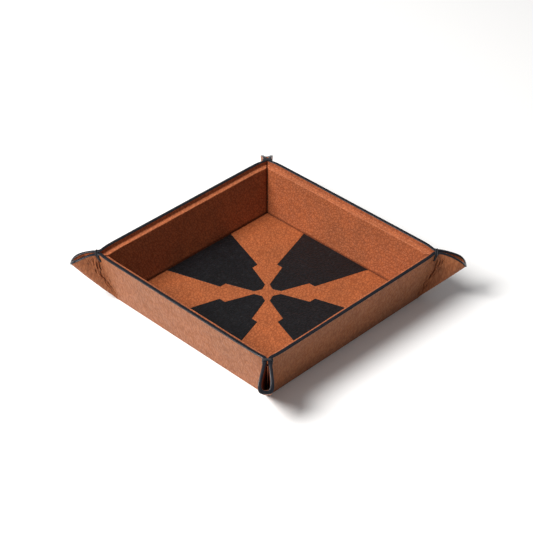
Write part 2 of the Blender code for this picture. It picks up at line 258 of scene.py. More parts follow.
def outward(grid):
    """Unit normals of a grid of points, rows rising, columns anticlockwise and closed."""
    along = np.roll(grid, -1, 1) - np.roll(grid, 1, 1)
    rise = np.gradient(grid, axis=0)
    n = np.cross(along, rise)
    return n / np.maximum(np.linalg.norm(n, axis=2, keepdims=True), 1e-9)


def surface_coordinates(grid):
    """For each point: distance along its row from the wall's bend, positive on the ear, the
    length of the ear's side in that row, and which of eight corner sides it is on."""
    rows = grid.shape[0]
    s = np.zeros(grid.shape[:2])
    length = np.zeros(grid.shape[:2])
    side = np.zeros(COLS, int)
    tip = NC // 2
    bend = int(np.argmin(abs(TS[: tip + 1] - BEND_T)))
    for q in range(4):
        block = grid[:, q * NC : (q + 1) * NC]
        steps = np.linalg.norm(np.diff(block, axis=1), axis=2)
        run = np.concatenate([np.zeros((rows, 1)), np.cumsum(steps, 1)], 1)
        near, far = run[:, bend : bend + 1], run[:, NC - bend : NC - bend + 1]
        mid = run[:, tip : tip + 1]
        s[:, q * NC : q * NC + tip + 1] = run[:, : tip + 1] - near
        s[:, q * NC + tip + 1 : (q + 1) * NC] = far - run[:, tip + 1 :]
        length[:, q * NC : q * NC + tip + 1] = mid - near
        length[:, q * NC + tip + 1 : (q + 1) * NC] = far - mid
        side[q * NC : q * NC + tip + 1] = 2 * q
        side[q * NC + tip + 1 : (q + 1) * NC] = 2 * q + 1
    return s, length, side


def value_noise(x, y, seed, size):
    """Smooth noise in -1..1 over a plane, cells of the given size."""
    rng = np.random.default_rng(seed)
    table = rng.uniform(-1.0, 1.0, (64, 64))
    u, v = x / size, y / size
    i, j = np.floor(u).astype(int), np.floor(v).astype(int)
    a, b = smooth(u - i), smooth(v - j)
    c00, c10 = table[i % 64, j % 64], table[(i + 1) % 64, j % 64]
    c01, c11 = table[i % 64, (j + 1) % 64], table[(i + 1) % 64, (j + 1) % 64]
    return (c00 * (1 - a) + c10 * a) * (1 - b) + (c01 * (1 - a) + c11 * a) * b


LONG_WRINKLES = (
    # from, to: distance out on the ear; begin, end: share of the way down; depth; half width
    (0.1, 1.3, -0.04, 0.34, 0.85, 0.60),
    (2.0, 1.3, 0.22, 0.62, 0.95, 0.62),
    (0.3, -0.4, 0.50, 0.86, 0.85, 0.58),
    (-1.2, -0.6, 0.74, 1.02, 0.70, 0.55),
    (2.3, 3.2, -0.02, 0.30, 0.62, 0.52),
    (3.9, 3.0, 0.24, 0.56, 0.55, 0.50),
    (1.8, 0.7, 0.62, 0.92, 0.60, 0.50),
    (-2.2, -1.7, 0.36, 0.66, 0.45, 0.50),
    (-3.3, -2.8, 0.60, 1.00, 0.40, 0.52),
    (4.4, 5.0, -0.10, 0.20, 0.50, 0.48),
    (6.2, 5.6, -0.16, 0.10, 0.42, 0.46),
    (8.2, 7.2, -0.16, 0.04, 0.36, 0.46),
    (5.6, 4.4, 0.16, 0.40, 0.36, 0.46),
    (3.4, 2.0, 0.50, 0.76, 0.36, 0.44),
)


def creases(s, length, z, side):
    """Wrinkles that run from the sewn hole down the bend between a wall and its ear."""
    depth = np.zeros_like(s)
    hole = RIM_Z - TIE_DROP
    u = (hole - z) / (hole - 3.0)
    for k in range(8):
        mask = side == k
        rng = np.random.default_rng(40 + k)
        ss, uu, ll = s[:, mask], u[:, mask], length[:, mask]
        part = np.zeros_like(ss)
        shift = 0.35 * np.sin(uu * 5.0 + k) + 0.3 * value_noise(uu * 38.0 + 70, 0 * uu + 3.0 * k, 90 + k, 4.5)
        for s0, s1, begin, end, deep, wide in LONG_WRINKLES:
            jitter = rng.normal(0.0, 1.0, 5)
            share = np.clip((uu - begin) / (end - begin), -0.2, 1.2)
            path = s0 + 0.3 * jitter[0] + (s1 - s0) * share + shift
            path = path + 0.75 * value_noise(uu * 38.0 + 90, 0 * uu + 5.0 * jitter[1] + 40, 110 + k, 3.4)
            path = path + 0.16 * value_noise(uu * 38.0 + 90, 0 * uu + 7.0 * jitter[2] + 60, 130 + k, 1.3)
            window = smooth((uu - begin) / 0.08) * smooth((end - uu) / 0.12)
            beat = 0.78 + 0.32 * value_noise(uu * 38.0 + 50, 0 * uu + 4.0 * jitter[3] + 30, 150 + k, 2.6)
            deep = deep * float(np.clip(1.0 + 0.25 * jitter[4], 0.6, 1.4))
            part -= deep * beat * window * np.exp(-(((ss - path) / wide) ** 2))
            for lip in (-1.9, 1.9):
                part += 0.30 * deep * window * np.exp(-(((ss - path - lip * wide) / (1.2 * wide)) ** 2))
        # fine folds that fan over the ear from the hole
        run = uu * (hole - 3.0)
        r = np.hypot(ss, run) + 1e-6
        angle = np.arctan2(ss, np.maximum(run + 8.0, 1.0))
        fan = value_noise(angle * 16.0 + 40, r * 0.30 + 40, 170 + k, 1.0)
        fan = fan + 0.6 * value_noise(angle * 30.0 + 40, r * 0.55 + 40, 190 + k, 1.0)
        part += 0.24 * fan * smooth((20.0 - r) / 13.0) * smooth((ss + 1.5) / 2.5)
        part *= smooth((ll - ss) / 2.0)
        depth[:, mask] = part
    return depth


def corner_directions(q):
    a = math.pi / 4 + q * math.pi / 2
    return np.array([math.cos(a), math.sin(a), 0.0]), np.array([math.sin(a), -math.cos(a), 0.0])


def tie_centre(q, w, z):
    """Centre plane of a tie: w across the pinch, z up."""
    diagonal, across = corner_directions(q)
    d = CORNERS[q]["tie"] - (RIM_Z - z) * CORNERS[q]["tie_lean"]
    return diagonal * d + across * w + np.array([0, 0, z])


def tie_pull(grid, out):
    """The leather drawn in by a thread: a dimple at the hole and a channel up to the rim."""
    pulled = np.zeros(grid.shape[:2])
    dark = np.zeros(grid.shape[:2])
    for q in range(4):
        block = grid[:, q * NC : (q + 1) * NC]
        for sign in (-1.0, 1.0):
            w_hole = sign * (ear_side(RISE - TIE_DROP, 0.1) + out)
            w_top = sign * (ear_side(RISE, 0.1) + out)
            hole = tie_centre(q, w_hole, RIM_Z - TIE_DROP)
            top = tie_centre(q, w_top, RIM_Z)
            r = np.linalg.norm(block - hole, axis=2)
            line = top - hole
            share = np.clip(((block - hole) @ line) / (line @ line), 0.0, 1.0)
            near = np.linalg.norm(block - hole - share[..., None] * line, axis=2)
            pulled[:, q * NC : (q + 1) * NC] -= 0.75 * np.exp(-((r / 1.5) ** 2))
            pulled[:, q * NC : (q + 1) * NC] -= 0.40 * np.exp(-((near / (0.9 + 0.9 * share)) ** 2))
            # painted shade mask for the sewn hole, which is not cut
            dark[:, q * NC : (q + 1) * NC] += np.exp(-((r / 1.25) ** 2))
    return pulled, np.clip(dark, 0.0, 1.0)


# ---- meshes --------------------------------------------------------------------------
def mesh_object(name, verts, faces, mat, smooth_angle=None, layers=None):
    """verts in millimetres."""
    mesh = bpy.data.meshes.new(name)
    mesh.from_pydata((np.asarray(verts, float) * MM).tolist(), [], faces)
    mesh.update()
    for key, values in (layers or {}).items():
        layer = mesh.attributes.new(key, "FLOAT", "POINT")
        layer.data.foreach_set("value", np.asarray(values, np.float32))
    mesh.materials.append(mat)
    if smooth_angle is not None:
        mesh.shade_smooth()
        mesh.set_sharp_from_angle(angle=math.radians(smooth_angle))
    ob = bpy.data.objects.new(name, mesh)
    bpy.context.scene.collection.objects.link(ob)
    return ob


def grid_faces(rows, cols, start=0, closed_rows=False):
    r = np.arange(rows if closed_rows else rows - 1)[:, None]
    c = np.arange(cols)[None, :]
    up = (r + 1) % rows
    nxt = (c + 1) % cols
    quad = np.stack([r * cols + c, r * cols + nxt, up * cols + nxt, up * cols + c], 2)
    return (quad.reshape(-1, 4) + start).tolist()


def make_outer(mat):
    """Base, walls and ears: rows climb the outside, cross under the coat and go down inside."""
    foot = [0.0, 0.03, 0.10, 0.22, 0.4, 0.65, 1.0, 1.5]
    shell = [level_row(z, OUTER_T - corner_inset(z, 0.0, 1.1)) for z in foot]
    shares = np.linspace(0.0, 1.0, 84)
    edge_z = rim_at(OUTER_T)
    for share in shares:
        shell.append(level_row(2.0 + share * (edge_z - 0.55 - 2.0), OUTER_T - 0.03))
    grid = np.stack(shell)
    normal = outward(grid)
    s, length, side = surface_coordinates(grid)
    z = grid[..., 2]
    rim = np.broadcast_to(edge_z.reshape(-1), z.shape)
    edge = smooth((rim - z - 0.7) / 3.0)
    bottom = smooth((z - 0.6) / 3.0)
    pulled, dark = tie_pull(grid, OUTER_T)
    wrinkle = creases(s, length, z, side) * smooth((rim - z - 1.5) / 3.0)
    arc = np.cumsum(np.linalg.norm(np.roll(grid[40], -1, 0) - grid[40], axis=1))
    wave = 0.22 * value_noise(np.broadcast_to(arc, z.shape), z, 5, 31.0)
    wave = wave + 0.10 * value_noise(np.broadcast_to(arc, z.shape), z * 0.8, 6, 11.0)
    move = (wrinkle + wave * edge) * bottom + pulled * smooth((rim - z - 0.35) / 0.8)
    grid = grid + normal * move[..., None]

    inner = []
    for share in (1.0, 0.8, 0.5, 0.2, 0.0):
        inner.append(level_row(2.4 + share * (rim_at(0.0) - 0.55 - 2.4), 0.0))
    for height in (OUTER_T + 0.3, OUTER_T):
        inner.append(level_row(height, -corner_inset(height, OUTER_T, 0.6)))
    rows = [row for row in grid] + inner
    count = len(rows)
    verts = np.concatenate(rows)
    faces = grid_faces(count, COLS)
    # underside: rings that shrink towards the middle
    last = grid[0]
    start = len(verts)
    under = []
    previous = np.arange(COLS)
    for shrink in (0.988, 0.95, 0.8, 0.5, 0.2):
        ring = last * np.array([shrink, shrink, 1.0])
        ring[:, 2] = 0.0
        under.append(ring)
        now = np.arange(COLS) + start
        nxt = np.roll(np.arange(COLS), -1)
        faces += np.stack([previous, now, now[nxt], previous[nxt]], 1).tolist()
        previous = now
        start += COLS
    faces.append(previous[::-1].tolist())
    verts = np.concatenate([verts] + under)
    faces.append((np.arange(COLS) + (count - 1) * COLS).tolist())
    total = len(verts)
    fold = np.zeros(total)
    hollow_shade = np.zeros(total)
    hole = np.zeros(total)
    n = grid.shape[0] * COLS
    # painted shade: the bend between wall and ear and the whole ear side darkened and warmed
    bend = 0.50 * np.exp(-((s / 3.5) ** 2)) + 0.45 * smooth((s + 0.5) / 3.0)
    fold[:n] = bend.reshape(-1)
    # painted shade in the wrinkle valleys
    hollow_shade[:n] = np.clip(-wrinkle * 2.0, 0.0, 1.0).reshape(-1)
    hole[:n] = dark.reshape(-1)
    ob = mesh_object("sheet_outer", verts, faces, mat, 50, {"fold": fold, "hollow_shade": hollow_shade, "hole": hole})
    return ob


LEDGE_ROWS = (
    # height about the ledge's edge, share of the step over the board
    (-2.2, 1.0),
    (-1.4, 1.0),
    (-0.9, 1.0),
    (-0.6, 1.0),
    (-0.4, 0.998),
    (-0.25, 0.992),
    (-0.13, 0.972),
    (-0.05, 0.935),
    (0.0, 0.88),
    (0.045, 0.75),
    (0.11, 0.56),
    (0.18, 0.37),
    (0.245, 0.21),
    (0.31, 0.11),
    (0.40, 0.045),
    (0.54, 0.012),
    (0.76, 0.0),
    (1.1, 0.0),
    (1.7, 0.0),
    (2.4, 0.0),
)


def make_lining(mat):
    """Inner skin of walls and ears, stepping off the top of the boards near the rim."""
    drop = 0.55
    top = RIM_Z - drop
    full = BOARD_T + GAP

    def level(z, out, share_of_step):
        share = (z - FOOT_Z) / (top - FOOT_Z)
        zz = FOOT_Z + share * (rim_at(out) - drop - FOOT_Z)
        return level_row(zz, out, full * share_of_step)

    heights = [(z, 1.0) for z in (FOOT_Z, 2.6, 3.4, 4.2, 5.0, 5.5, 6.2, 7.2, 8.8)]
    heights += [(z, 1.0) for z in np.linspace(10.5, LEDGE_Z - 3.2, 24)]
    heights += [(LEDGE_Z + dz, part) for dz, part in LEDGE_ROWS]
    heights += [(top - 0.6, 0.0), (top, 0.0)]
    grid = np.stack([level(z, -GAP - LINING_T + 0.02, part) for z, part in heights])
    nominal = np.broadcast_to(np.array([z for z, _ in heights])[:, None], grid.shape[:2])
    normal = -outward(grid)
    s, length, side = surface_coordinates(grid)
    z = grid[..., 2]
    rim = np.broadcast_to(rim_at(LAYERS[0]).reshape(-1), z.shape)
    arc = np.cumsum(np.linalg.norm(np.roll(grid[20], -1, 0) - grid[20], axis=1))
    arc = np.broadcast_to(arc, z.shape)
    wave = 0.14 * value_noise(arc, z, 15, 27.0) + 0.07 * value_noise(arc, z, 16, 9.0)
    wave = wave * smooth((z - 5.0) / 4.0) * smooth((rim - z - 0.8) / 2.0)
    ledge = smooth((nominal - LEDGE_Z + 1.6) / 1.2) * smooth((top - nominal) / 1.5)
    wave = wave * (1 - 0.85 * ledge) + 0.09 * ledge * value_noise(arc, 0 * z, 17, 14.0)
    inside_ear = smooth((s - 2.0) / 4.0) * smooth((length - s) / 4.0)
    wrinkle = 0.16 * inside_ear * value_noise(arc * 1.0, z * 0.45, 18, 2.6) * smooth((rim - z - 1.0) / 3.0)
    pulled, dark = tie_pull(grid, -GAP - LINING_T)
    grid = grid + normal * ((wave + wrinkle) * smooth((nominal - 2.5) / 2.0))[..., None]
    under = LEDGE_Z - LINING_T
    behind = [(top, 0.0), (under + LEDGE_RISE, 0.0), (under, 1.0), (30.0, 1.0), (15.0, 1.0), (FOOT_Z, 1.0)]
    behind = [level(z, -GAP, part) for z, part in behind]
    rows = [row for row in grid[::-1]]  # down the face, then up the back
    rows = rows + behind[::-1]
    verts = np.concatenate(rows)
    faces = [f[::-1] for f in grid_faces(len(rows), COLS, closed_rows=True)]
    faces = [f[::-1] for f in faces]
    total = len(verts)
    fold, hollow_shade, hole = np.zeros(total), np.zeros(total), np.zeros(total)
    n = grid.shape[0] * COLS
    hole[:n] = dark[::-1].reshape(-1)
    # painted shade at the lining's foot, in the gap beside the floor panel
    hollow_shade[:n] = smooth((6.4 - nominal) / 1.6)[::-1].reshape(-1)
    # painted light on the ledge top and a painted highlight along its crest
    shelf = smooth((nominal - LEDGE_Z + 0.15) / 0.2) * smooth((LEDGE_Z + 0.5 - nominal) / 0.3)
    crest = np.exp(-(((nominal - LEDGE_Z + 0.12) / 0.34) ** 2))
    ledge_light = np.zeros(total)
    ledge_light[:n] = np.clip(0.45 * shelf + 0.9 * crest, 0.0, 1.0)[::-1].reshape(-1)
    return mesh_object("sheet_lining", verts, faces, mat, 55, {"fold": fold, "hollow_shade": hollow_shade, "hole": hole, "ledge_light": ledge_light})


def make_coat(mat):
    """Painted edge: a rounded bead over both leathers, with slight unevenness."""
    inner, outer = -GAP - LINING_T, OUTER_T
    profile = (
        (outer - 0.10, -0.86),
        (outer + 0.03, -0.78),
        (outer + 0.07, -0.60),
        (outer + 0.02, -0.40),
        (outer - 0.14, -0.20),
        (outer - 0.42, -0.06),
        (outer - 0.85, 0.00),
        (0.0, 0.03),
        (inner + 0.85, 0.00),
        (inner + 0.42, -0.06),
        (inner + 0.14, -0.20),
        (inner - 0.02, -0.40),
        (inner - 0.06, -0.60),
        (inner - 0.03, -0.78),
        (inner + 0.10, -0.86),
        (0.0, -0.90),
    )
    base = level_row(rim_at(0.0), 0.0)
    arc = np.cumsum(np.linalg.norm(np.roll(base, -1, 0) - base, axis=1))
    rows = []
    for k, (out, dz) in enumerate(profile):
        wobble = 0.02 * value_noise(arc, np.full_like(arc, 1.5 * k), 30, 8.0)
        wobble += 0.03 * value_noise(arc, np.full_like(arc, 0.4 * k), 31, 13.0)
        lift = 0.025 * value_noise(arc, np.full_like(arc, 0.2 * k), 32, 9.0)
        lower = dz < -0.7
        skirt = 0.08 * value_noise(arc, np.full_like(arc, 9.0 + (out > 0)), 33, 7.0) if lower else 0.0
        row = level_row(rim_at(out), (out + wobble).reshape(4, NC))
        row[:, 2] += dz + lift + skirt
        rows.append(row)
    verts = np.concatenate(rows)
    faces = grid_faces(len(rows), COLS, closed_rows=True)
    return mesh_object("rim_coat", verts, faces, mat, 60)


def inset_outline(outline, distance):
    n = len(outline)
    lines = []
    for i in range(n):
        (x0, y0), (x1, y1) = outline[i], outline[(i + 1) % n]
        length = math.hypot(x1 - x0, y1 - y0)
        nx, ny = -(y1 - y0) / length, (x1 - x0) / length
        lines.append((nx, ny, nx * x0 + ny * y0 + distance))
    result = []
    for i in range(n):
        a0, b0, c0 = lines[i - 1]
        a1, b1, c1 = lines[i]
        det = a0 * b1 - a1 * b0
        result.append(((c0 * b1 - c1 * b0) / det, (a0 * c1 - a1 * c0) / det))
    return result


def rotated(points, quarter):
    for _ in range(quarter):
        points = [(-y, x) for x, y in points]
    return points


def wedge_outline():
    return [(x, -y) for x, y in reversed(WEDGE)] + [(x, y) for x, y in WEDGE[:-1]]


def cross_outline():
    outline = []
    for quarter in range(4):
        notch = [(x, -y) for x, y in WEDGE] + [(x, y) for x, y in reversed(WEDGE[:-1])]
        outline += rotated(notch + [(FLOOR_HALF, FLOOR_HALF)], quarter)
    return outline


def densify(outline, spacing):
    points = []
    n = len(outline)
    for i in range(n):
        (x0, y0), (x1, y1) = outline[i], outline[(i + 1) % n]
        parts = max(1, int(math.hypot(x1 - x0, y1 - y0) / spacing))
        points += [(x0 + (x1 - x0) * k / parts, y0 + (y1 - y0) * k / parts) for k in range(parts)]
    return points


def contains(outline, x, y):
    inside = np.zeros(x.shape, bool)
    n = len(outline)
    for i in range(n):
        (x0, y0), (x1, y1) = outline[i], outline[(i + 1) % n]
        if y0 == y1:
            continue
        crosses = (y0 > y) != (y1 > y)
        inside ^= crosses & (x < x0 + (y - y0) * (x1 - x0) / (y1 - y0))
    return inside


def floor_wave(x, y):
    """The panel isn't perfectly flat: it swells a little between joints."""
    return 0.10 * value_noise(x + 200, y + 200, 50, 34.0) + 0.05 * value_noise(x + 200, y + 200, 51, 12.0) - 0.06


def border_fall(x, y):
    """The panel's outer border rolls down towards the walls."""
    short = 1.15 - (FLOOR_HALF - np.maximum(abs(x), abs(y)))
    return 0.75 * (1.0 - np.sqrt(1.0 - np.clip(short / 1.15, 0.0, 1.0) ** 2))


def make_inlay(name, outline, mat):
    """A flat piece of leather with softened top edges and a slightly uneven top."""
    rims = ((0.02, FLOOR_LOW), (0.02, FLOOR_TOP - 0.26), (0.05, FLOOR_TOP - 0.13), (0.13, FLOOR_TOP - 0.05), (0.27, FLOOR_TOP - 0.012), (0.45, FLOOR_TOP), (0.75, FLOOR_TOP), (1.1, FLOOR_TOP))
    loops = []
    base = densify(outline, 2.6)
    n = len(base)
    for inset, z in rims:
        corner_points = inset_outline(outline, inset)
        ring = []
        m = len(outline)
        for i in range(m):
            (x0, y0), (x1, y1) = outline[i], outline[(i + 1) % m]
            parts = max(1, int(math.hypot(x1 - x0, y1 - y0) / 2.6))
            (u0, v0), (u1, v1) = corner_points[i], corner_points[(i + 1) % m]
            ring += [(u0 + (u1 - u0) * k / parts, v0 + (v1 - v0) * k / parts) for k in range(parts)]
        ring = np.array(ring)
        height = np.full(n, z)
        if z > FLOOR_LOW + 0.5:
            height = height + floor_wave(ring[:, 0], ring[:, 1]) - border_fall(ring[:, 0], ring[:, 1])
        loops.append(np.column_stack([ring, height]))
    verts = [tuple(v) for loop in loops for v in loop]
    faces = []
    for k in range(len(loops) - 1):
        for i in range(n):
            j = (i + 1) % n
            faces.append((k * n + i, k * n + j, (k + 1) * n + j, (k + 1) * n + i))
    top = loops[-1]
    span = np.arange(-FLOOR_HALF, FLOOR_HALF + 0.1, 2.5)
    gx, gy = np.meshgrid(span, span)
    gx = gx.reshape(-1) + 0.4 * value_noise(gx.reshape(-1) + 300, gy.reshape(-1) + 300, 60, 2.5)
    gy = gy.reshape(-1) + 0.4 * value_noise(gx + 300, gy.reshape(-1) + 300, 61, 2.5)
    inside = contains(inset_outline(outline, 2.0), gx, gy)
    gx, gy = gx[inside], gy[inside]
    flat = [Vector((x, y)) for x, y in top[:, :2]] + [Vector((x, y)) for x, y in zip(gx, gy)]
    result = geometry.delaunay_2d_cdt(flat, [], [list(range(n))], 1, 1e-5)
    out_verts, out_faces, origin = result[0], result[2], result[3]
    index = {}
    for k, source in enumerate(origin):
        first = [o for o in source if o < n]
        if first:
            index[k] = (len(loops) - 1) * n + first[0]
        else:
            x, y = out_verts[k]
            index[k] = len(verts)
            verts.append((x, y, FLOOR_TOP + float(floor_wave(np.array([x]), np.array([y]))[0])))
    faces += [tuple(index[k] for k in face) for face in out_faces]
    faces.append(tuple(reversed(range(n))))
    verts = np.array(verts)
    # painted shade along the panel's border, where the gap to the walls lies
    reach = FLOOR_HALF - np.maximum(abs(verts[:, 0]), abs(verts[:, 1]))
    seam_shade = 0.9 * smooth((1.5 - reach) / 1.3)
    none = np.zeros(len(verts))
    return mesh_object(name, verts, faces, mat, 55, {"fold": none, "hollow_shade": seam_shade, "hole": none})


def tie_path(q, samples):
    """Rounded rectangle across the pinch, evenly sampled: (w, z)."""
    top = RIM_Z - 0.85
    bottom = RIM_Z - TIE_DROP - 0.4
    half_top = float(ear_side(RISE, 0.1)) + OUTER_T + 0.30
    half_low = float(ear_side(RISE - TIE_DROP, 0.1)) + OUTER_T + 0.10
    radius = 1.35
    path = []
    for cx, cz, first in (
        (half_top - radius, top - radius, 0.0),
        (-half_top + radius, top - radius, 90.0),
        (-half_low + radius, bottom + radius, 180.0),
        (half_low - radius, bottom + radius, 270.0),
    ):
        for k in range(9):
            a = math.radians(first + 90.0 * k / 8)
            path.append((cx + radius * math.cos(a), cz + radius * math.sin(a)))
    path = np.array(path + path[:1])
    run = np.concatenate([[0.0], np.cumsum(np.hypot(*np.diff(path, axis=0).T))])
    at = np.linspace(0.0, run[-1], samples, endpoint=False)
    return np.column_stack([np.interp(at, run, path[:, 0]), np.interp(at, run, path[:, 1])]), run[-1]


def make_tie(name, q, mat):
    """Doubled waxed thread: two turns side by side over the rim that meet at the sewn hole."""
    samples, around = 150, 8
    path, run = tie_path(q, samples)
    diagonal, across = corner_directions(q)
    verts, faces = [], []
    rng = np.random.default_rng(70 + q)
    for turn in (-1.0, 1.0):
        lift = smooth((path[:, 1] - (RIM_Z - TIE_DROP)) / (TIE_DROP * 0.9))
        spread = turn * (0.14 + 0.62 * lift)
        centre = np.stack([tie_centre(q, w, z) for w, z in path]) + diagonal * spread[:, None]
        centre += across * (0.05 * rng.normal()) + np.array([0, 0, 1.0]) * (0.08 * turn)
        tangent = np.roll(centre, -1, 0) - np.roll(centre, 1, 0)
        tangent /= np.linalg.norm(tangent, axis=1, keepdims=True)
        normal = diagonal - tangent * (tangent @ diagonal)[:, None]
        normal /= np.linalg.norm(normal, axis=1, keepdims=True)
        bi = np.cross(tangent, normal)
        twists = round(run / 2.3)
        for ply in range(3):
            phase = 2 * math.pi * (twists * np.arange(samples) / samples + ply / 3.0) + turn
            strand = centre + 0.36 * (np.cos(phase)[:, None] * normal + np.sin(phase)[:, None] * bi)
            along = np.roll(strand, -1, 0) - np.roll(strand, 1, 0)
            along /= np.linalg.norm(along, axis=1, keepdims=True)
            n2 = normal - along * np.sum(normal * along, 1, keepdims=True)
            n2 /= np.linalg.norm(n2, axis=1, keepdims=True)
            b2 = np.cross(along, n2)
            start = len(verts)
            angle = 2 * math.pi * np.arange(around) / around
            ring = strand[:, None] + 0.40 * (np.cos(angle)[None, :, None] * n2[:, None] + np.sin(angle)[None, :, None] * b2[:, None])
            verts += [tuple(v) for v in ring.reshape(-1, 3)]
            faces += grid_faces(samples, around, start, closed_rows=True)
    ob = mesh_object(name, np.array(verts), faces, mat, 70)
    return ob


# ---- materials -------------------------------------------------------------------------
def node(tree, kind, **values):
    n = tree.nodes.new(kind)
    for key, value in values.items():
        if hasattr(n, key):
            setattr(n, key, value)
        else:
            n.inputs[key].default_value = value
    return n


def new_material(name):
    m = bpy.data.materials.new(name)
    m.use_nodes = True
    tree = m.node_tree
    shader = tree.nodes["Principled BSDF"]
    return m, tree, shader


def math_node(tree, operation, a, b=None, c=None, clamp=False):
    n = tree.nodes.new("ShaderNodeMath")
    n.operation = operation
    n.use_clamp = clamp
    for k, v in enumerate((a, b, c)):
        if v is None:
            continue
        if isinstance(v, (int, float)):
            n.inputs[k].default_value = v
        else:
            tree.links.new(v, n.inputs[k])
    return n.outputs[0]


def ramp(tree, value, low, high, to_low=0.0, to_high=1.0):
    n = tree.nodes.new("ShaderNodeMapRange")
    n.interpolation_type = "SMOOTHSTEP"
    for key, v in (("From Min", low), ("From Max", high), ("To Min", to_low), ("To Max", to_high)):
        n.inputs[key].default_value = v
    tree.links.new(value, n.inputs["Value"])
    return n.outputs["Result"]


def noise(tree, vector, scale, detail=2.0, rough=0.5):
    n = tree.nodes.new("ShaderNodeTexNoise")
    n.inputs["Scale"].default_value = scale
    n.inputs["Detail"].default_value = detail
    n.inputs["Roughness"].default_value = rough
    tree.links.new(vector, n.inputs["Vector"])
    return n.outputs["Fac"]


def mix(tree, factor, a, b, mode="MIX"):
    n = tree.nodes.new("ShaderNodeMix")
    n.data_type = "RGBA"
    n.blend_type = mode
    if isinstance(factor, (int, float)):
        n.inputs["Factor"].default_value = factor
    else:
        tree.links.new(factor, n.inputs["Factor"])
    for socket, v in ((n.inputs[6], a), (n.inputs[7], b)):
        if isinstance(v, tuple):
            socket.default_value = (*v, 1.0)
        else:
            tree.links.new(v, socket)
    return n.outputs[2]


def scaled(colour, k):
    return tuple(c * k for c in colour)


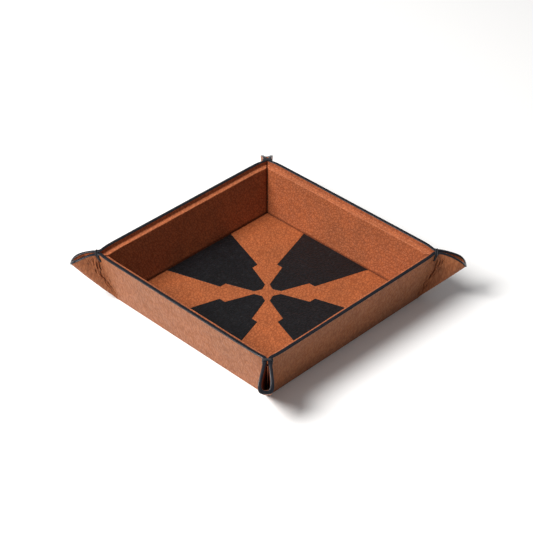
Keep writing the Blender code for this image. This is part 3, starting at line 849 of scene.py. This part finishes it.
def leather(name, colour, cell=2.6, stretch=(1, 1, 1), turn=(0, 0, 0), bump=0.20, relief=1.5, pitch=2.5, rough=(0.5, 0.66), valley=0.72, variation=0.16, specular=0.25, warm=(1.03, 0.98, 0.93)):
    """Milled, pebbled leather. cell is the pebble size and pitch that of the softer undulation
    between pebbles, in millimetres; stretch draws both out along an axis after the turn."""
    m, tree, shader = new_material(name)
    links = tree.links
    coord = tree.nodes.new("ShaderNodeTexCoord")
    spin = tree.nodes.new("ShaderNodeMapping")
    spin.inputs["Rotation"].default_value = turn
    links.new(coord.outputs["Object"], spin.inputs["Vector"])
    mapping = tree.nodes.new("ShaderNodeMapping")
    mapping.inputs["Scale"].default_value = tuple(1.0 / s for s in stretch)
    links.new(spin.outputs["Vector"], mapping.inputs["Vector"])
    vector = mapping.outputs["Vector"]
    # bend the pebbles' borders
    warp = tree.nodes.new("ShaderNodeTexNoise")
    warp.inputs["Scale"].default_value = 1.0 / (cell * 1.8 * MM)
    warp.inputs["Detail"].default_value = 2.0
    links.new(vector, warp.inputs["Vector"])
    centred = tree.nodes.new("ShaderNodeVectorMath")
    centred.operation = "MULTIPLY_ADD"
    links.new(warp.outputs["Color"], centred.inputs[0])
    centred.inputs[1].default_value = (cell * 1.8 * MM,) * 3
    links.new(vector, centred.inputs[2])
    warped = centred.outputs[0]
    cells = tree.nodes.new("ShaderNodeTexVoronoi")
    cells.feature = "DISTANCE_TO_EDGE"
    cells.inputs["Scale"].default_value = 1.0 / (cell * MM)
    links.new(warped, cells.inputs["Vector"])
    pebble = ramp(tree, cells.outputs["Distance"], 0.0, 0.24)
    small = tree.nodes.new("ShaderNodeTexVoronoi")
    small.feature = "DISTANCE_TO_EDGE"
    small.inputs["Scale"].default_value = 1.0 / (cell * 0.42 * MM)
    links.new(warped, small.inputs["Vector"])
    little = ramp(tree, small.outputs["Distance"], 0.0, 0.35)
    swell = noise(tree, vector, 1.0 / (pitch * MM), 1.5, 0.5)
    pores = noise(tree, vector, 1.0 / (0.22 * MM), 2.0, 0.6)
    broad = noise(tree, coord.outputs["Object"], 1.0 / (32.0 * MM), 3.0, 0.55)
    mid = noise(tree, coord.outputs["Object"], 1.0 / (7.0 * MM), 3.0, 0.6)
    strength = ramp(tree, mid, 0.3, 0.7, 0.65, 1.0)
    height = math_node(tree, "MULTIPLY", pebble, strength)
    height = math_node(tree, "MULTIPLY", height, 0.70)
    height = math_node(tree, "MULTIPLY_ADD", swell, relief, height)
    height = math_node(tree, "MULTIPLY_ADD", little, 0.14, height)
    height = math_node(tree, "MULTIPLY_ADD", pores, 0.07, height)
    height = math_node(tree, "MULTIPLY_ADD", broad, 2.0, height)
    bumper = tree.nodes.new("ShaderNodeBump")
    bumper.inputs["Strength"].default_value = 1.0
    bumper.inputs["Distance"].default_value = bump * MM
    links.new(height, bumper.inputs["Height"])
    links.new(bumper.outputs["Normal"], shader.inputs["Normal"])
    # colour: darker between pebbles, patches of slightly different dye
    shade = mix(tree, ramp(tree, broad, 0.3, 0.7), scaled(colour, 1 - variation * 0.5), tuple(c * w * (1 + variation * 0.5) for c, w in zip(colour, warm)))
    shade = mix(tree, ramp(tree, mid, 0.35, 0.68, 0.0, 0.4), shade, scaled(colour, 1 - variation * 0.8))
    deep = mix(tree, 1.0, shade, (valley, valley * 0.92, valley * 0.84), "MULTIPLY")
    shade = mix(tree, ramp(tree, pebble, 0.0, 0.9), deep, shade)
    low = mix(tree, 1.0, shade, (0.92, 0.89, 0.87), "MULTIPLY")
    shade = mix(tree, ramp(tree, swell, 0.36, 0.56), low, shade)
    roughness = ramp(tree, mid, 0.25, 0.75, rough[0], rough[1])
    roughness = math_node(tree, "MULTIPLY_ADD", pebble, -0.07, roughness, clamp=True)
    # painted shade: wrinkle valleys and the seam between floor panel and walls darkened, the bend and the ear side
    # darkened and warmed, the sewn holes darkened; painted light: the lining's ledge lightened, with a painted
    # highlight along its crest
    facs = {}
    for key in ("hollow_shade", "fold", "hole", "ledge_light"):
        attribute = tree.nodes.new("ShaderNodeAttribute")
        attribute.attribute_name = key
        facs[key] = attribute.outputs["Fac"]
    # painted shade: darkens wrinkle valleys and the seam between floor panel and walls
    dark = mix(tree, 1.0, shade, (0.36, 0.27, 0.21), "MULTIPLY")
    shade = mix(tree, math_node(tree, "MULTIPLY", facs["hollow_shade"], 0.8), shade, dark)
    # painted shade for the bend and the ear side
    shaded_fold = mix(tree, 1.0, shade, (0.95, 0.82, 0.70), "MULTIPLY")
    shade = mix(tree, math_node(tree, "MULTIPLY", facs["fold"], 0.8), shade, shaded_fold)
    # painted light and painted highlight on the lining's ledge
    lit_ledge = mix(tree, 1.0, shade, (1.35, 1.45, 1.6), "MULTIPLY")
    shade = mix(tree, facs["ledge_light"], shade, lit_ledge)
    # painted shade: the sewn holes darkened almost to black
    hole_shade = mix(tree, 1.0, shade, (0.10, 0.08, 0.07), "MULTIPLY")
    shade = mix(tree, ramp(tree, facs["hole"], 0.35, 0.8), shade, hole_shade)
    links.new(shade, shader.inputs["Base Color"])
    links.new(roughness, shader.inputs["Roughness"])
    shader.inputs["Specular IOR Level"].default_value = specular
    shader.inputs["Sheen Weight"].default_value = 0.03
    shader.inputs["Sheen Roughness"].default_value = 0.45
    return m


def coat_material():
    """Satin black edge paint, slightly blue, with faint brush unevenness and scuffs."""
    m, tree, shader = new_material("edge_paint")
    coord = tree.nodes.new("ShaderNodeTexCoord").outputs["Object"]
    flow = noise(tree, coord, 1.0 / (2.4 * MM), 3.0, 0.55)
    grit = noise(tree, coord, 1.0 / (0.35 * MM), 2.0, 0.6)
    scuff = noise(tree, coord, 1.0 / (7.0 * MM), 4.0, 0.7)
    colour = mix(tree, ramp(tree, flow, 0.3, 0.7), (0.0052, 0.0056, 0.0085), (0.009, 0.010, 0.0150))
    colour = mix(tree, ramp(tree, scuff, 0.62, 0.78, 0.0, 0.5), colour, (0.030, 0.033, 0.042))
    tree.links.new(colour, shader.inputs["Base Color"])
    rough = ramp(tree, flow, 0.25, 0.75, 0.27, 0.38)
    rough = math_node(tree, "MULTIPLY_ADD", ramp(tree, scuff, 0.6, 0.8), 0.12, rough)
    tree.links.new(rough, shader.inputs["Roughness"])
    height = math_node(tree, "MULTIPLY_ADD", grit, 0.25, flow)
    bumper = tree.nodes.new("ShaderNodeBump")
    bumper.inputs["Distance"].default_value = 0.10 * MM
    tree.links.new(height, bumper.inputs["Height"])
    tree.links.new(bumper.outputs["Normal"], shader.inputs["Normal"])
    shader.inputs["Specular IOR Level"].default_value = 0.34
    return m


def thread_material():
    m, tree, shader = new_material("waxed_thread")
    coord = tree.nodes.new("ShaderNodeTexCoord").outputs["Object"]
    fibre = noise(tree, coord, 1.0 / (0.16 * MM), 3.0, 0.7)
    wax = noise(tree, coord, 1.0 / (1.6 * MM), 2.0, 0.5)
    colour = mix(tree, ramp(tree, wax, 0.3, 0.7), (0.009, 0.0095, 0.012), (0.020, 0.021, 0.026))
    colour = mix(tree, ramp(tree, fibre, 0.55, 0.8, 0.0, 0.5), colour, (0.045, 0.047, 0.055))
    tree.links.new(colour, shader.inputs["Base Color"])
    tree.links.new(ramp(tree, wax, 0.25, 0.75, 0.38, 0.6), shader.inputs["Roughness"])
    bumper = tree.nodes.new("ShaderNodeBump")
    bumper.inputs["Distance"].default_value = 0.06 * MM
    tree.links.new(fibre, bumper.inputs["Height"])
    tree.links.new(bumper.outputs["Normal"], shader.inputs["Normal"])
    shader.inputs["Specular IOR Level"].default_value = 0.3
    return m


def board_material():
    """Grey pressed board: speckled fibres, dull."""
    m, tree, shader = new_material("pressed_board")
    coord = tree.nodes.new("ShaderNodeTexCoord").outputs["Object"]
    fibre = noise(tree, coord, 1.0 / (0.6 * MM), 4.0, 0.7)
    speck = noise(tree, coord, 1.0 / (2.5 * MM), 3.0, 0.6)
    colour = mix(tree, ramp(tree, speck, 0.3, 0.7), (0.15, 0.125, 0.095), (0.24, 0.21, 0.165))
    colour = mix(tree, ramp(tree, fibre, 0.6, 0.75, 0.0, 0.7), colour, (0.09, 0.075, 0.06))
    tree.links.new(colour, shader.inputs["Base Color"])
    tree.links.new(ramp(tree, fibre, 0.3, 0.7, 0.82, 0.96), shader.inputs["Roughness"])
    bumper = tree.nodes.new("ShaderNodeBump")
    bumper.inputs["Distance"].default_value = 0.08 * MM
    tree.links.new(fibre, bumper.inputs["Height"])
    tree.links.new(bumper.outputs["Normal"], shader.inputs["Normal"])
    return m


def floor_material():
    m, tree, shader = new_material("studio_floor")
    coord = tree.nodes.new("ShaderNodeTexCoord").outputs["Object"]
    soft = noise(tree, coord, 3.0, 2.0)
    colour = mix(tree, soft, (0.90, 0.90, 0.90), (0.92, 0.92, 0.92))
    tree.links.new(colour, shader.inputs["Base Color"])
    shader.inputs["Roughness"].default_value = 0.9
    shader.inputs["Specular IOR Level"].default_value = 0.0
    return m


# ---- build ---------------------------------------------------------------------------
outside = leather("tan_leather_outside", (0.312, 0.116, 0.047), cell=2.7, stretch=(1, 1, 2.6), bump=0.19, relief=1.7, pitch=2.3, rough=(0.5, 0.64), valley=0.78, variation=0.12, specular=0.2)
lining = leather("tan_leather_lining", (0.342, 0.099, 0.037), cell=2.4, stretch=(1.1, 1.1, 1.15), bump=0.27, relief=1.6, pitch=2.3, valley=0.70)
tan = leather("tan_leather_floor", (0.387, 0.111, 0.037), cell=2.4, stretch=(1.0, 1.5, 1.0), turn=(0, 0, math.radians(-20)), bump=0.28, relief=1.6, pitch=2.2, valley=0.71)
black = leather("black_leather_floor", (0.0056, 0.0060, 0.0082), cell=2.9, stretch=(1.0, 1.35, 1.0), turn=(0, 0, math.radians(35)), bump=0.30, relief=1.6, pitch=2.4, rough=(0.40, 0.52), valley=0.45, variation=0.3, specular=0.26, warm=(1, 1, 1))
paint = coat_material()
waxed = thread_material()
pressed = board_material()

outer = make_outer(outside)
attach(outer, "root")
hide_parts("outer_leather")

inner = make_lining(lining)
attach(inner, "root")
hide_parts("lining_leather")

coat = make_coat(paint)
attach(coat, "root")
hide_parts("edge_coat")

panel = make_inlay("panel_tan", cross_outline(), tan)
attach(panel, "root")
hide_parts("floor_inlay_tan")

for quarter, place in enumerate(("right", "back", "left", "front")):
    wedge = make_inlay("panel_black_" + place, rotated(wedge_outline(), quarter), black)
    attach(wedge, "root")
    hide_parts("floor_inlay_black_" + place)

for quarter, place in enumerate(("back_right", "back_left", "front_left", "front_right")):
    tie = make_tie("thread_" + place, quarter, waxed)
    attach(tie, "root")
    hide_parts("corner_tie_" + place)

for name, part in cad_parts.items():
    if name == "base_board" or name.startswith("wall_board"):
        part.data.materials.clear()
        part.data.materials.append(pressed)

# ---- stage, light, camera ------------------------------------------------------------
ground_mesh = bpy.data.meshes.new("studio_floor")
ground_mesh.from_pydata([(-6, -6, -0.0002), (6, -6, -0.0002), (6, 6, -0.0002), (-6, 6, -0.0002)], [], [(0, 1, 2, 3)])
ground_mesh.materials.append(floor_material())
ground = bpy.data.objects.new("studio_floor", ground_mesh)
bpy.context.scene.collection.objects.link(ground)
ground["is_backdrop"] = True

world = bpy.data.worlds.new("studio")
bpy.context.scene.world = world
world.use_nodes = True
sky = world.node_tree.nodes["Background"]
sky.inputs["Color"].default_value = (0.975, 0.985, 1.0, 1.0)
heading = world.node_tree.nodes.new("ShaderNodeTexCoord")
split = world.node_tree.nodes.new("ShaderNodeSeparateXYZ")
world.node_tree.links.new(heading.outputs["Generated"], split.inputs["Vector"])
brighter = world.node_tree.nodes.new("ShaderNodeMapRange")  # softly brighter overhead
brighter.inputs["To Min"].default_value = 0.10
brighter.inputs["To Max"].default_value = 0.35
world.node_tree.links.new(split.outputs["Z"], brighter.inputs["Value"])
world.node_tree.links.new(brighter.outputs["Result"], sky.inputs["Strength"])

key_direction = Vector((-0.293, -0.601, 0.743)).normalized()
key_data = bpy.data.lights.new("key", "AREA")
key_data.shape = "DISK"
key_data.size = 1.3
key_data.energy = 88.0
key_data.color = (1.0, 0.985, 0.965)
key = bpy.data.objects.new("key", key_data)
key.location = key_direction * 2.3
key.rotation_euler = key_direction.to_track_quat("Z", "Y").to_euler()
bpy.context.scene.collection.objects.link(key)

elevation, azimuth = math.radians(36.251), math.radians(45.125)
back = Vector((math.sin(azimuth) * math.cos(elevation), -math.cos(azimuth) * math.cos(elevation), math.sin(elevation)))
right = Vector((math.cos(azimuth), math.sin(azimuth), 0.0))
up = back.cross(right)
roll = math.radians(-0.252)
place = back * 1.470705 + right * -0.000751 + up * 0.022063 + Vector((0, 0, FLOOR_TOP * MM))
cam_right = right * math.cos(roll) + up * math.sin(roll)
cam_up = -right * math.sin(roll) + up * math.cos(roll)
camera_data = bpy.data.cameras.new("camera")
camera_data.sensor_width = 36.0
camera_data.lens = 116.67
camera_data.clip_start = 0.05
camera = bpy.data.objects.new("camera", camera_data)
matrix = Matrix.Identity(4)
for column, axis in enumerate((cam_right, cam_up, back)):
    for row in range(3):
        matrix[row][column] = axis[row]
matrix.translation = place
camera.matrix_world = matrix
bpy.context.scene.collection.objects.link(camera)
bpy.context.scene.camera = camera
bpy.context.scene.view_settings.view_transform = "Standard"
bpy.context.scene.view_settings.look = "None"

size_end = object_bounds()


def plain(value):
    if isinstance(value, dict):
        return {k: plain(v) for k, v in value.items()}
    if isinstance(value, (list, tuple, Vector)):
        return [plain(v) for v in value]
    return float(value) if isinstance(value, (int, float, np.floating)) else value


{"start": plain(size_start), "end": plain(size_end)}
